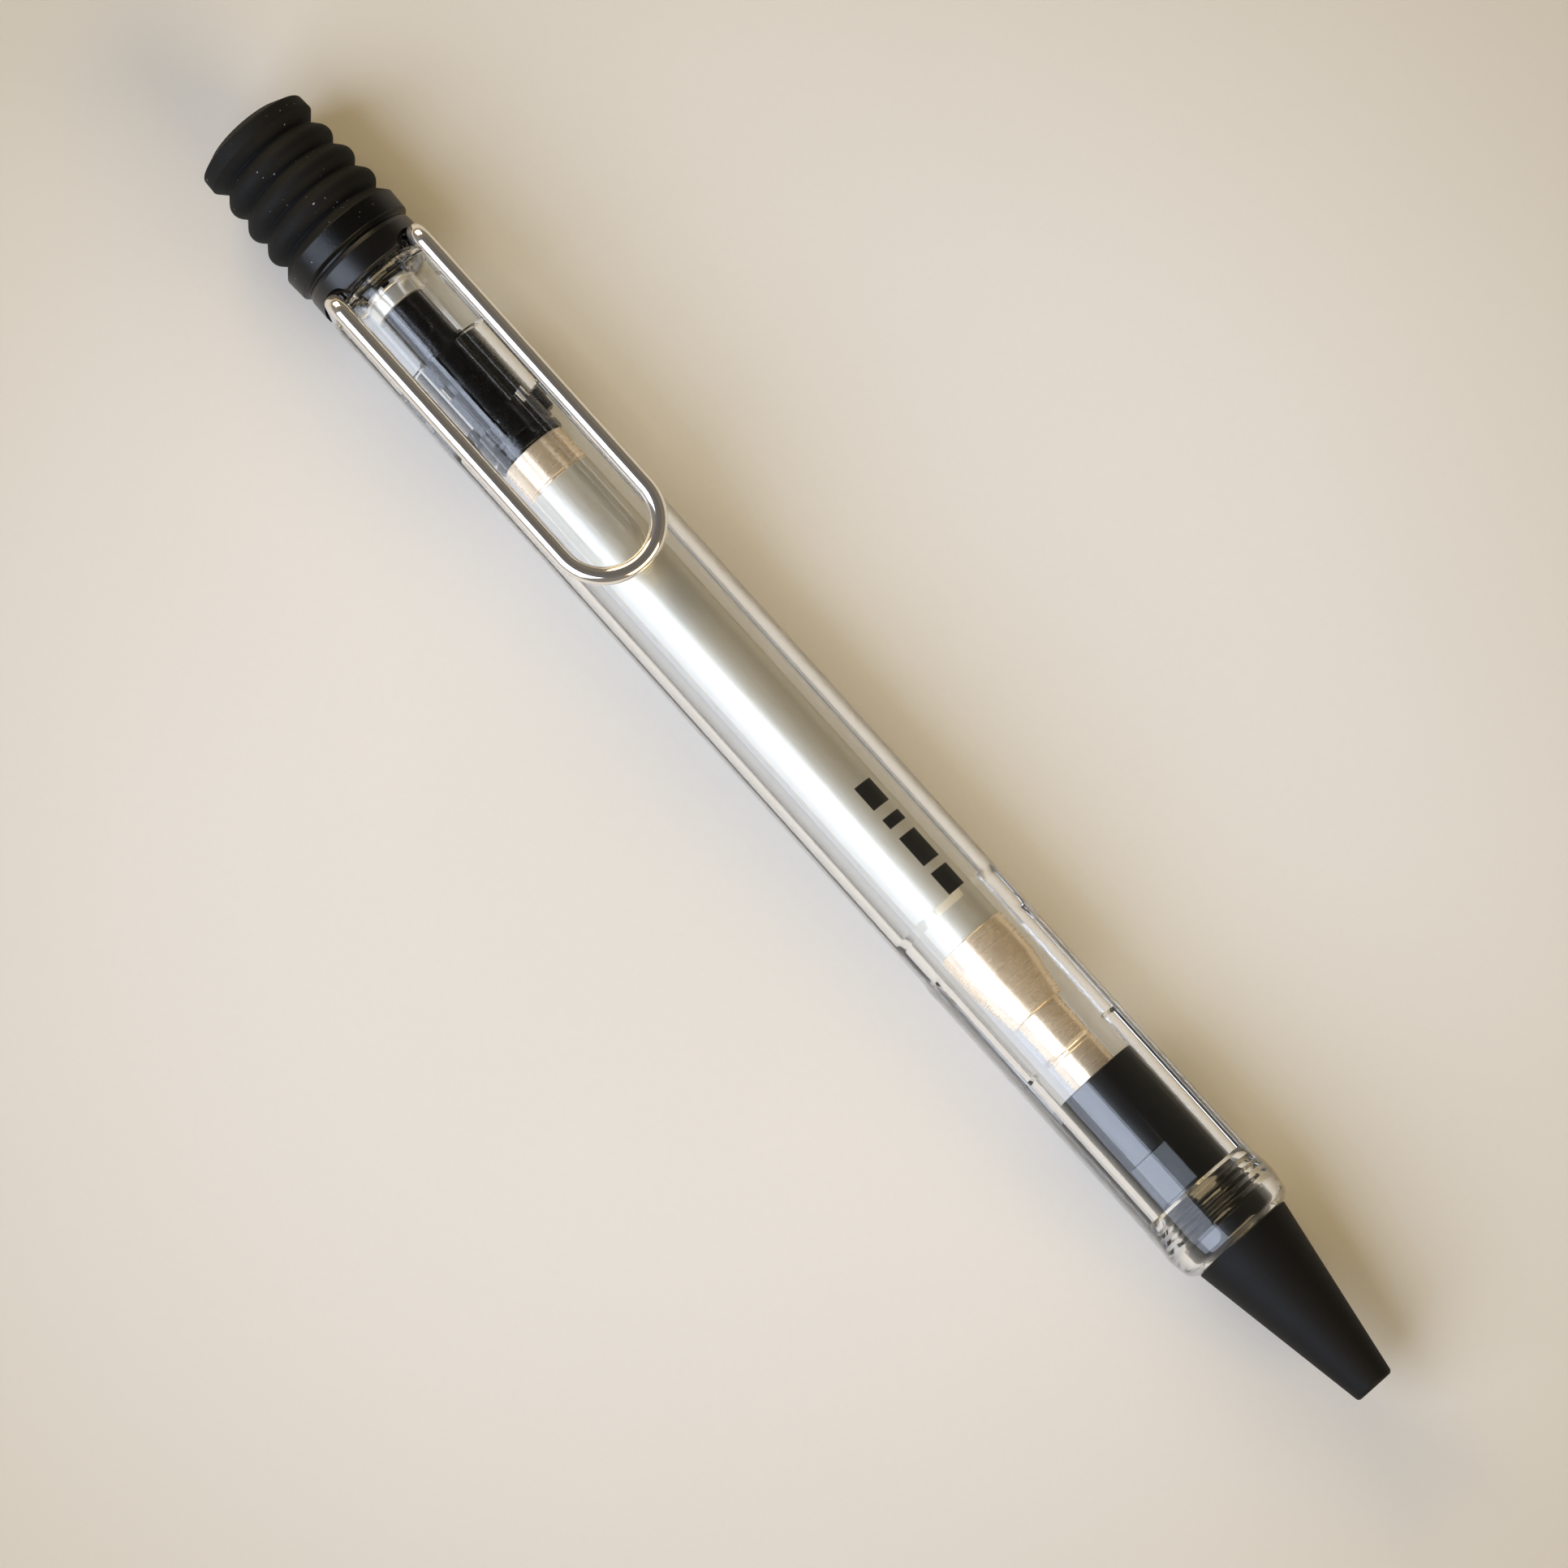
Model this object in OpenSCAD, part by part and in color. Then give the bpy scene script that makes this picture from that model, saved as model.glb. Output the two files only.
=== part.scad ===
// Click ballpoint pen, lying down: clear barrel, ribbed rubber button, sprung
// wire clip, and a large metal refill that a black nose cone holds in.
// +X runs along the pen from the button to the writing tip, +Z is up, through the clip.
// The origin is on the surface that the pen lies on, under the middle of its length.
// A station is a distance along the pen's axis from the flat end of the button.

/* [Refill] */
// Length of the refill from its rear end to the writing ball
refill_l = 99.85; // [80:0.05:125]
// Radius of the refill's metal tube
refill_r = 3.0; // [2.4:0.05:3.6]
// Wall of the refill's tube
refill_wall = 0.25; // [0.15:0.05:0.4]
// Length of the brass cap on the refill's rear end
cap_l = 3.4; // [2.5:0.1:5]
// How far the refill's front piece is larger in radius than its tube
ferrule_step = 0.15; // [0.05:0.05:0.3]
// Length of the front piece at full width
ferrule_l = 3.7; // [2.5:0.1:5]
// Length of the front piece's taper
ferrule_taper_l = 4.3; // [3:0.1:6]
// Radius of the refill's neck
neck_r = 2.1; // [1.7:0.05:2.5]
// Length of the neck in front of the taper
neck_l = 14.8; // [13:0.1:18]
// Radius of the steel point
point_r = 1.15; // [0.9:0.05:1.3]
// Radius of the writing ball
ball_r = 0.5; // [0.35:0.05:0.6]
// How far the ball sits back from the nose's end while it is not in use
ball_back = 1.6; // [1:0.1:2.5]

/* [Barrel] */
// Free space round the refill in the barrel
refill_room = 1.3; // [1:0.05:1.8]
// Wall of the clear barrel
barrel_wall = 1.2; // [1:0.05:1.6]
// How deep each side flat is cut
flat_depth = 0.25; // [0.1:0.05:0.4]
// How deep each finger facet is cut
facet_depth = 0.42; // [0.2:0.02:0.5]
// How far each finger facet faces round from the top of the pen
facet_angle = 79.5; // [70:0.5:90]
// Length of the finger facets at full depth
facet_l = 23.5; // [16:0.5:25]
// Radius of the scooped ends of flats and facets
scoop_r = 7; // [4:0.5:12]
// How far the front ring of the barrel swells
flare = 0.06; // [0:0.02:0.3]

/* [Click mechanism] */
// Travel of the button
press = 5.0; // [4:0.1:5]
// Length of the clear cam ribs inside the barrel, to their longest points
cam_l = 7.6; // [6.9:0.1:9]
// Rise of each cam tooth's sloping end
cam_rise = 1.1; // [0.8:0.1:1.3]
// Angle that each deep slot between the cam teeth spans
slot_angle = 25; // [20:1:30]
// Radius of the rotor's body
rotor_r = 3.2; // [3.1:0.05:3.5]
// Radius of the plunger's shaft
plunger_r = 2.05; // [1.8:0.05:2.2]
// Length of the bright stop ring on the plunger
ring_l = 1.9; // [1.2:0.1:2.4]
// Wall of the stop ring
ring_wall = 0.45; // [0.4:0.05:0.7]

/* [Button bellows] */
// Number of folds
folds = 3; // [2:1:5]
// Distance from one fold to the next
fold_pitch = 2.57; // [2:0.05:3]
// Radius of the button's flat end
face_r = 3.7; // [3:0.1:4.2]
// Length of the button's head
head_l = 1.95; // [1.6:0.05:2.4]
// How far the head is smaller in radius than the barrel
head_inset = 0.22; // [0:0.02:0.4]
// How deep the folds are cut
fold_depth = 0.95; // [0.6:0.05:1.1]
// Rubber's thickness
rubber = 0.85; // [0.6:0.05:1]
// Length of the ring at the bellows' foot
foot_l = 1.85; // [1.4:0.05:2.5]

/* [Collar and clip] */
// Length of the black collar
collar_l = 2.5; // [2:0.1:4]
// How far the collar is smaller in radius than the barrel
collar_inset = 0.25; // [0.1:0.05:0.5]
// Diameter of the clip's wire
wire_d = 1.5; // [1.2:0.1:1.8]
// Distance between the clip's two arms, from middle to middle
clip_w = 8.8; // [8:0.1:9.4]
// Length of the clip from its legs to the outside of its round end
clip_l = 33.3; // [26:0.1:45]
// Radius that the wire's middle bends down at
clip_bend = 1.5; // [1.2:0.1:2]
// How much higher the clip stands at the collar than at its free end
clip_lift = 0.6; // [0.2:0.1:1.5]

/* [Nose] */
// Length of the nose cone outside the barrel
nose_l = 15.85; // [12:0.05:20]
// Radius of the nose where it meets the barrel
nose_r = 4.5; // [4.3:0.05:4.9]
// Radius of the nose's small end
nose_end_r = 1.76; // [1.7:0.02:2.2]
// Length of the nose's sleeve inside the barrel
sleeve_l = 17.3; // [16:0.1:22]
// Wall of the sleeve round the refill's neck
sleeve_wall = 1.35; // [1:0.05:1.5]
// Pitch of the nose's screw thread
thread_pitch = 0.7; // [0.5:0.05:0.8]
// Depth of the thread
thread_depth = 0.3; // [0.2:0.05:0.4]
// Turns of thread
thread_turns = 4; // [3:1:5]
// Diameter of the return spring's wire
spring_wire = 0.36; // [0.3:0.02:0.4]
// Turns of the return spring
spring_turns = 9; // [6:1:12]

/* [Hidden] */
$fn = 96;

// Clearances
fit = 0.1;          // sliding fit, on the radius
glide = 0.05;       // close fit between turning pieces
seat = 0.01;        // pieces of one body that are pressed together
eps = 0.01;         // cuts run this far past a face

// Radii that follow from what fits inside what
bore_r = refill_r + refill_room;
barrel_r = bore_r + barrel_wall;
neck_bore_r = neck_r + 0.3;
sleeve_r = neck_bore_r + sleeve_wall;
seat_bore_r = max(sleeve_r + fit, refill_r + ferrule_step + 2 * fit);
grip_bore_r = (seat_bore_r + bore_r) / 2 - 0.08;
thread_r = sleeve_r + 0.05 + thread_depth;
front_bore_r = thread_r + fit;
ring_r = plunger_r + seat + ring_wall;
core_r = ring_r - 0.25;
stub_r = barrel_r - 1.4;
cam_r = rotor_r + glide;
slot_r = cam_r + 0.65;
collar_r = barrel_r - collar_inset;
wire_r = wire_d / 2;

// Stations along the pen
valley_s = head_l + 1.0;                            // first valley of the bellows
foot_s = valley_s + folds * fold_pitch + 1.05;      // foot ring of the bellows
collar_s = foot_s + foot_l + 0.42;
stub_s = foot_s + 0.2;                              // rear end of the barrel's stub
shoulder_s = collar_s + collar_l + 0.15;
bore_s = shoulder_s + 0.95;                         // rear end of the barrel's bore
cam_s = shoulder_s + 8.55;
cam_end_s = cam_s + cam_l;
joint_s = cam_s + 3.4;                              // plunger meets rotor
rotor_end_s = cam_end_s + 2.95;
refill_s = rotor_end_s + glide;
tip_s = refill_s + refill_l;
pen_l = tip_s + ball_back;
front_s = pen_l - nose_l;                           // front end of the barrel
sleeve_s = front_s - sleeve_l;
thread_s = front_s - 5.0;
facet_end_s = front_s - 6.1;
facet_s = facet_end_s - facet_l;
neck_end_s = tip_s - 23.65;                         // front end of the refill's neck
neck_s = neck_end_s - neck_l;
ferrule_s = neck_s - ferrule_taper_l - ferrule_l;
flat_end_s = facet_s - 3.4;                         // front end of the side flats
grip_s = facet_s - 5.6;                             // the bore narrows here, behind the grip
seat_s = sleeve_s - 3;                              // and here, for the nose's sleeve

// The fattest fold touches the surface that the pen lies on
fold_out = [for (k = [0 : folds - 1]) barrel_r + 0.19 - 0.27 * pow(1 - k / (folds - 1), 2)];
axis_z = max(fold_out[folds - 1], barrel_r + flare);

// Cam teeth: three deep slots, with two sloping teeth between each pair
slot_mid = -26.5;
slot_count = 3;
tooth_angle = (360 / slot_count - slot_angle) / 2;
slot_w = 2 * slot_r * sin(slot_angle / 2);
cam_slope = atan(cam_rise / ((cam_r + slot_r) / 2 * tooth_angle * PI / 180));

// Crown teeth between plunger and rotor
crown_depth = 0.7;
crown_w = 1.3;

// Return spring
spring_mid_r = point_r + 0.27 + spring_wire / 2;
spring_bore_r = spring_mid_r + spring_wire / 2 + 0.2;
spring_end_s = pen_l - 6.2;
point_bore_r = point_r + fit;

// ---------- helpers ----------

function unit(v) = v / norm(v);
function turned_by(v, a) = [v[0] * cos(a) - v[1] * sin(a), v[0] * sin(a) + v[1] * cos(a)];

// Points of the arc that rounds corner b, between a and c, to radius r
function corner(a, b, c, r, n) =
    r == 0 ? [b] :
    let (u = unit(a - b), w = unit(c - b), half = acos(u * w) / 2,
         middle = b + unit(u + w) * r / sin(half),
         start = b + u * r / tan(half) - middle,
         sweep = (180 - 2 * half) * sign(cross(start, b + w * r / tan(half) - middle)))
    [for (i = [0 : n]) middle + turned_by(start, sweep * i / n)];

// Closed outline through [station, radius, rounding] points, each corner rounded
function outline(points, n = 4) =
    let (last = len(points) - 1, flat = [for (p = points) [p[0], p[1]]])
    [for (i = [0 : last])
        each corner(flat[i == 0 ? last : i - 1], flat[i], flat[i == last ? 0 : i + 1], points[i][2], n)];

// Puts a shape whose z is a station onto the pen's axis, with its -x side on top
module on_axis() translate([-pen_l / 2, 0, axis_z]) rotate([0, 90, 0]) children();

// Turns the x side of a shape on the axis to an angle from the top, towards +Y
module clocked(a) rotate([0, 0, 180 - a]) children();

// Solid of revolution from [station, radius, rounding] points
module turned(points) rotate_extrude() polygon([for (p = outline(points)) [p[1], p[0]]]);

// Plain round piece or bore between two stations
module rod(s0, s1, r) translate([0, 0, s0]) cylinder(r = r, h = s1 - s0);

// Part of a ring between two angles from the top
module sector(a0, a1, r0, r1, s0, s1)
    clocked(a1) rotate_extrude(angle = a1 - a0) translate([r0, s0]) square([r1 - r0, s1 - s0]);

// Cut that leaves a flat at a distance from the axis, with a scooped end each way
module milled_flat(a, away, s0, s1)
    clocked(a) translate([away + scoop_r, 0, 0]) {
        translate([-scoop_r, -barrel_r, s0]) cube([2 * scoop_r, 2 * barrel_r, s1 - s0]);
        for (s = [s0, s1])
            translate([0, barrel_r, s]) rotate([90, 0, 0]) cylinder(r = scoop_r, h = 2 * barrel_r);
    }

// ---------- barrel, collar, bellows and clip ----------

// Where the clip's legs go down into the barrel's shoulder
leg_s = shoulder_s + 0.1;
leg_z = -0.5;
arm_z = barrel_r + 0.05 + wire_r + clip_lift;
arm_l = clip_l - clip_bend - clip_w / 2 - wire_r;
clip_tilt = atan(clip_lift / clip_l);

// Straight pockets for the clip's legs, cut from above
module leg_pockets(room)
    for (side = [-1, 1])
        clocked(0) translate([leg_z - room, side * clip_w / 2, leg_s]) rotate([0, 90, 0])
            cylinder(r = wire_r + room, h = 2 * barrel_r);

// Space in front of one cam tooth, whose end slopes across it
module tooth_end(a) {
    half = tooth_angle / 2;
    clocked(a)
        intersection() {
            linear_extrude(cam_end_s + 1)
                polygon([[0, 0], [slot_r, slot_r * tan(half + 0.5)], [slot_r, -slot_r * tan(half)]]);
            translate([0, 0, cam_end_s - cam_rise / 2]) rotate([cam_slope, 0, 0])
                translate([0, -barrel_r, 0]) cube([barrel_r, 2 * barrel_r, 2 * cam_l]);
        }
}

// Cuts that leave the cam ribs: the deep slots, and the sloping ends of the teeth
module cam_cuts()
    for (k = [0 : slot_count - 1]) {
        middle = slot_mid + k * 360 / slot_count;
        clocked(middle) translate([cam_r / 2, -slot_w / 2, cam_s - 0.5])
            cube([slot_r - cam_r / 2, slot_w, cam_l + 1]);
        for (t = [0.5, 1.5])
            tooth_end(middle + slot_angle / 2 + t * tooth_angle);
    }

module barrel_outside()
    difference() {
        turned([[stub_s, 0, 0], [stub_s, stub_r, 0.3], [shoulder_s, stub_r, 0],
                [shoulder_s, barrel_r, 1.2], [front_s - 6, barrel_r, 3], [front_s - 2.3, barrel_r + flare, 2],
                [front_s - 0.5, barrel_r - 0.25, 0.7], [front_s, nose_r + 0.1, 0.1], [front_s, 0, 0]]);
        for (side = [-1, 1]) {
            milled_flat(side * 90, barrel_r - flat_depth, shoulder_s - scoop_r, flat_end_s);
            milled_flat(side * facet_angle, barrel_r - facet_depth, facet_s, facet_end_s);
        }
    }

module barrel()
    color([0.93, 0.94, 0.93, 0.3])
    on_axis()
        difference() {
            barrel_outside();
            rod(stub_s - eps, bore_s + eps, core_r + fit);
            rod(bore_s, cam_s, bore_r);
            clocked(slot_mid) rod(cam_s - eps, cam_end_s + eps, cam_r);
            cam_cuts();
            rod(cam_end_s, grip_s, bore_r);
            rod(grip_s - eps, seat_s, grip_bore_r);
            rod(seat_s - eps, thread_s - 0.2, seat_bore_r);
            rod(thread_s - 0.2 - eps, front_s + eps, front_bore_r);
            for (k = [0 : thread_turns - 1])
                turned([for (p = [[0, front_bore_r - eps], [thread_pitch / 2, front_bore_r + thread_depth * 0.6],
                                  [thread_pitch, front_bore_r - eps]])
                        [thread_s + k * thread_pitch + p[0], p[1], 0]]);
            leg_pockets(fit);
        }

module collar()
    color([0.07, 0.07, 0.075])
    on_axis()
    difference() {
        turned([[collar_s, stub_r + seat, 0], [collar_s, collar_r - 0.12, 0.15],
                [collar_s + 0.5, collar_r, 0.3], [collar_s + collar_l, collar_r, 0.2],
                [collar_s + collar_l, stub_r + seat, 0]]);
        leg_pockets(0.25);
    }

// Radii of a bellows valley, which deepen towards the head
function valley_r(k) = barrel_r + 0.19 - fold_depth - 0.35 * pow(1 - k / folds, 2);

module bellows()
    color([0.055, 0.055, 0.06])
    on_axis()
    turned(concat(
        [[0, 0, 0], [0, face_r, 0.35], [0.72, barrel_r - head_inset - 0.06, 0.25],
         [head_l, barrel_r - head_inset, 0.15]],
        [for (k = [0 : folds - 1]) each [
            [valley_s + k * fold_pitch, valley_r(k), 0.22],
            [valley_s + (k + 0.56) * fold_pitch, fold_out[k], 0.28]]],
        [[valley_s + folds * fold_pitch, valley_r(folds), 0.22],
         [foot_s, barrel_r + 0.12, 0.2], [foot_s + foot_l, barrel_r + 0.03, 0.15],
         [collar_s - 0.2, collar_r - 0.15, 0], [collar_s, collar_r - 0.15, 0], [collar_s, stub_r + seat, 0],
         [foot_s + 0.1, stub_r + seat, 0], [foot_s - 0.2, valley_r(folds) - rubber, 0.1]],
        [for (k = [folds - 1 : -1 : 0]) each [
            [valley_s + (k + 0.56) * fold_pitch, fold_out[k] - rubber * 1.1, 0.2],
            [valley_s + k * fold_pitch, valley_r(k) - rubber, 0.2]]],
        [[1.25, barrel_r - head_inset - 1.3, 0.3], [1.25, 0, 0]]));

module clip()
    color([0.8, 0.8, 0.8])
    translate([leg_s - pen_l / 2, 0, axis_z + leg_z]) rotate([0, clip_tilt, 0])
    translate([0, 0, arm_z - leg_z]) {
        for (side = [-1, 1]) translate([0, side * clip_w / 2, 0]) {
            translate([0, 0, leg_z - arm_z]) cylinder(r = wire_r, h = arm_z - leg_z - clip_bend);
            translate([clip_bend, 0, -clip_bend]) rotate([90, -90, 0])
                rotate_extrude(angle = 90) translate([clip_bend, 0]) circle(r = wire_r, $fn = 48);
            translate([clip_bend, 0, 0]) rotate([0, 90, 0]) cylinder(r = wire_r, h = arm_l);
        }
        translate([clip_bend + arm_l, 0, 0]) rotate([0, 0, -90])
            rotate_extrude(angle = 180) translate([clip_w / 2, 0]) circle(r = wire_r, $fn = 48);
    }

// ---------- click mechanism ----------

core_s = 1.3;
ring_s = bore_s + fit;
stem_r = plunger_r - 0.6;
stem_s = bore_s - 4;
pilot_r = 1.4;
pilot_l = 2.6;
lug_r = slot_r - fit;
lug_half = slot_angle / 2 - 2;

module button_core()
    color([0.08, 0.08, 0.085])
    on_axis()
    difference() {
        turned([[core_s, 0, 0], [core_s, face_r - 0.35, 0.3], [core_s + 1.2, face_r - 0.35, 0.2],
                [core_s + 1.2, core_r, 0.3], [ring_s, core_r, 0], [ring_s, 0, 0]]);
        rod(stem_s, ring_s + eps, stem_r + seat);
    }

module stop_ring()
    color([0.82, 0.8, 0.75])
    on_axis()
    difference() {
        turned([[ring_s, plunger_r + seat, 0], [ring_s, ring_r, 0.1], [ring_s + ring_l, ring_r, 0.1],
                [ring_s + ring_l, plunger_r + seat, 0]]);
        for (a = [0 : 60 : 120])
            clocked(a) translate([-barrel_r, -0.35, ring_s - eps]) cube([2 * barrel_r, 0.7, 0.45]);
    }

// V grooves across the end of the crown, or the ridges that fill them
module crown_wedges(slack) {
    half = crown_w / 2 - slack;
    for (a = [0 : 60 : 120])
        clocked(a) rotate([90, 0, 90]) translate([0, 0, -rotor_r - fit])
            linear_extrude(2 * (rotor_r + fit))
                polygon([[0, joint_s - crown_depth + slack], [half, joint_s], [half, joint_s + 4 * glide],
                         [-half, joint_s + 4 * glide], [-half, joint_s]]);
}

// Lugs that slide in the deep slots between the cam teeth
module lugs(s0, s1)
    for (k = [0 : slot_count - 1])
        sector(slot_mid - lug_half + k * 360 / slot_count, slot_mid + lug_half + k * 360 / slot_count,
               rotor_r - fit, lug_r, s0, s1);

module plunger()
    color([0.05, 0.05, 0.055])
    on_axis() {
        rod(stem_s + fit, ring_s, stem_r);
        rod(ring_s, cam_s + 0.2, plunger_r);
        difference() {
            union() {
                turned([[cam_s - 0.9, 0, 0], [cam_s - 0.9, plunger_r + 0.25, 0.1], [cam_s + 0.1, plunger_r + 0.25, 0],
                        [cam_s + 0.1, rotor_r, 0.1], [joint_s, rotor_r, 0], [joint_s, 0, 0]]);
                lugs(cam_s + 0.2, joint_s - crown_depth - 0.3);
            }
            crown_wedges(0);
        }
        rod(joint_s - 2 * crown_depth, joint_s + pilot_l, pilot_r);
    }

module rotor()
    color([0.05, 0.05, 0.055])
    on_axis()
    difference() {
        union() {
            turned([[joint_s + glide, 0, 0], [joint_s + glide, rotor_r, 0], [rotor_end_s - 1.25, rotor_r, 0.05],
                    [rotor_end_s - 1.25, rotor_r - 0.25, 0], [rotor_end_s - 0.75, rotor_r - 0.25, 0],
                    [rotor_end_s - 0.75, rotor_r, 0.05], [rotor_end_s, rotor_r, 0.1], [rotor_end_s, 0, 0]]);
            intersection() {
                crown_wedges(2 * glide);
                rod(joint_s - crown_depth, joint_s + 3 * glide, rotor_r - glide);
            }
            lugs(joint_s + 4 * glide, cam_end_s + 1.2);
        }
        rod(joint_s - 2, joint_s + pilot_l + fit, pilot_r + fit);
    }

// ---------- refill ----------

plug_l = 3;             // how far the end pieces reach into the tube
duct_r = point_r - 0.45;

module refill_rear_cap()
    color([0.78, 0.62, 0.38])
    on_axis()
    turned([[refill_s, 0, 0], [refill_s, refill_r - 0.05, 0.12], [refill_s + cap_l, refill_r - 0.05, 0],
            [refill_s + cap_l, refill_r - refill_wall - seat, 0],
            [refill_s + cap_l + plug_l, refill_r - refill_wall - seat, 0.3], [refill_s + cap_l + plug_l, 0, 0]]);

module refill_tube()
    color([0.74, 0.72, 0.66])
    on_axis()
    difference() {
        rod(refill_s + cap_l, ferrule_s, refill_r);
        rod(refill_s, ferrule_s + eps, refill_r - refill_wall);
    }

module ink_column()
    color([0.03, 0.04, 0.16])
    on_axis()
    rod(refill_s + cap_l + plug_l + 2, ferrule_s - plug_l, refill_r - refill_wall - seat);

module refill_front()
    color([0.78, 0.62, 0.38])
    on_axis()
    difference() {
        turned([[ferrule_s - plug_l, 0, 0], [ferrule_s - plug_l, refill_r - refill_wall - seat, 0.2],
                [ferrule_s, refill_r - refill_wall - seat, 0], [ferrule_s, refill_r + ferrule_step, 0.1],
                [ferrule_s + ferrule_l, refill_r + ferrule_step, 0.6], [neck_s, neck_r + 0.4, 0.1],
                [neck_s, neck_r, 0], [neck_end_s, neck_r, 0.15], [neck_end_s, 0, 0]]);
        rod(ferrule_s - plug_l - eps, neck_end_s, duct_r);
        rod(neck_end_s - 4, neck_end_s + eps, point_r + seat);
    }

ball_s = tip_s - ball_r;
ball_gap = 0.02;

module tip_socket()
    color([0.72, 0.72, 0.7])
    on_axis()
    difference() {
        turned([[neck_end_s - 4 + seat, 0, 0], [neck_end_s - 4 + seat, point_r, 0],
                [ball_s - 2.9, point_r, 0.3], [ball_s + 0.12, ball_r + 0.07, 0.03], [ball_s + 0.12, 0, 0]]);
        translate([0, 0, ball_s]) sphere(r = ball_r + ball_gap);
        rod(neck_end_s - 4, ball_s, ball_r * 0.6);
    }

module tip_ball()
    color([0.5, 0.5, 0.52])
    on_axis()
    translate([0, 0, ball_s]) sphere(r = ball_r);

// ---------- spring and nose ----------

wire_sides = 8;
steps_per_turn = 16;
spring_steps = spring_turns * steps_per_turn;
spring_s0 = neck_end_s + glide + spring_wire / 2;
spring_s1 = spring_end_s - glide - spring_wire / 2;

// Point j round the wire's section at step i along the coil
function coil_point(i, j) =
    let (a = i * 360 / steps_per_turn, r = spring_mid_r + spring_wire / 2 * cos(j * 360 / wire_sides))
    [r * cos(a), r * sin(a),
     spring_s0 + (spring_s1 - spring_s0) * i / spring_steps + spring_wire / 2 * sin(j * 360 / wire_sides)];

module return_spring()
    color([0.7, 0.7, 0.72])
    on_axis()
    polyhedron(
        points = [for (i = [0 : spring_steps], j = [0 : wire_sides - 1]) coil_point(i, j)],
        faces = concat(
            [[for (j = [0 : wire_sides - 1]) j]],
            [for (i = [0 : spring_steps - 1], j = [0 : wire_sides - 1])
                let (a = i * wire_sides, n = (j + 1) % wire_sides)
                each [[a + j, a + wire_sides + j, a + n], [a + n, a + wire_sides + j, a + wire_sides + n]]],
            [[for (j = [wire_sides - 1 : -1 : 0]) spring_steps * wire_sides + j]]),
        convexity = 10);

// Flat pad moulded into each side of the sleeve
pad_angle = -22;
pad_half_w = 1.7;
pad_s = thread_s - 4.6;
pad_l = 3.8;

module nose_cone()
    color([0.05, 0.05, 0.055])
    on_axis()
    difference() {
        union() {
            turned([[sleeve_s, 0, 0], [sleeve_s, sleeve_r, 0.15], [thread_s - 0.1, sleeve_r, 0],
                    [thread_s, sleeve_r + 0.05, 0], [front_s + glide, sleeve_r + 0.05, 0],
                    [front_s + glide, nose_r, 0.12], [pen_l, nose_end_r, 0.35], [pen_l, 0, 0]]);
            for (k = [0 : thread_turns - 1])
                turned([for (p = [[0, sleeve_r - 0.1], [0, sleeve_r + 0.05], [thread_pitch / 2, thread_r],
                                  [thread_pitch, sleeve_r + 0.05], [thread_pitch, sleeve_r - 0.1]])
                        [thread_s + k * thread_pitch + p[0], p[1], 0]]);
            rod(thread_s + thread_turns * thread_pitch + 0.3, front_s + 2 * glide, thread_r);
        }
        rod(sleeve_s - eps, neck_end_s + press + 1.4, neck_bore_r);
        rod(neck_end_s + press, spring_end_s, spring_bore_r);
        rod(spring_end_s - eps, pen_l + eps, point_bore_r);
        for (a = [pad_angle, pad_angle + 180])
            clocked(a) translate([sqrt(sleeve_r * sleeve_r - pad_half_w * pad_half_w), -sleeve_r, pad_s])
                cube([sleeve_r, 2 * sleeve_r, pad_l]);
    }

barrel();
collar();
bellows();
clip();
button_core();
stop_ring();
plunger();
rotor();
refill_rear_cap();
refill_tube();
ink_column();
refill_front();
tip_socket();
tip_ball();
return_spring();
nose_cone();
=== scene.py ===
import math

import bmesh
import bpy
from mathutils import Matrix, Vector


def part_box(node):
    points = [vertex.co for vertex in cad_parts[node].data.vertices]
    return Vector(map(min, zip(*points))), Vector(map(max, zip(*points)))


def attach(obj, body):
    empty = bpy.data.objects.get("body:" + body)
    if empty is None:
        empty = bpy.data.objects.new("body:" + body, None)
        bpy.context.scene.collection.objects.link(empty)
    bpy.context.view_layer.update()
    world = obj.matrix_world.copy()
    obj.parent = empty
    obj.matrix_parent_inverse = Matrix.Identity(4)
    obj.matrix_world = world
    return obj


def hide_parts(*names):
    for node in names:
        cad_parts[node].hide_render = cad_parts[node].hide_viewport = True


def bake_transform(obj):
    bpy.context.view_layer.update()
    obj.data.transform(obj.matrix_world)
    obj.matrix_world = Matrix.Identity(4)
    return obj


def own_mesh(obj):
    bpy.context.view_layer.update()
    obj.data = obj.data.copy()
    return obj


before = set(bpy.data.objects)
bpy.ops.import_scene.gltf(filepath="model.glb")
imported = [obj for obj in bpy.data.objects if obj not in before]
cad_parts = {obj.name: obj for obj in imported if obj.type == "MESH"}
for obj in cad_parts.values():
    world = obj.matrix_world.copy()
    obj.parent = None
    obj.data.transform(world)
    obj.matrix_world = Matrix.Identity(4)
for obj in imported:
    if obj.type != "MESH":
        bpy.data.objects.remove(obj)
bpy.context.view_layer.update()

# ---------------------------------------------------------------- sizes
# Pieces are made in millimetres. A station is a distance along the pen from the
# button's flat end, and a clock angle is measured from the pen's top towards +Y.

MM = 0.001
BUTTON_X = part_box("bellows")[0].x / MM
AXIS_Z = (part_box("refill_tube")[0].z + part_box("refill_tube")[1].z) / 2 / MM
STEPS = 288                      # faces round a turned piece


def station(node, end):
    """Station of a CAD node's rear end (0) or front end (1)."""
    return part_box(node)[end].x / MM - BUTTON_X


def half_width(node):
    """Largest distance of a CAD node from the pen's axis, sideways."""
    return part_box(node)[1].y / MM


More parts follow.
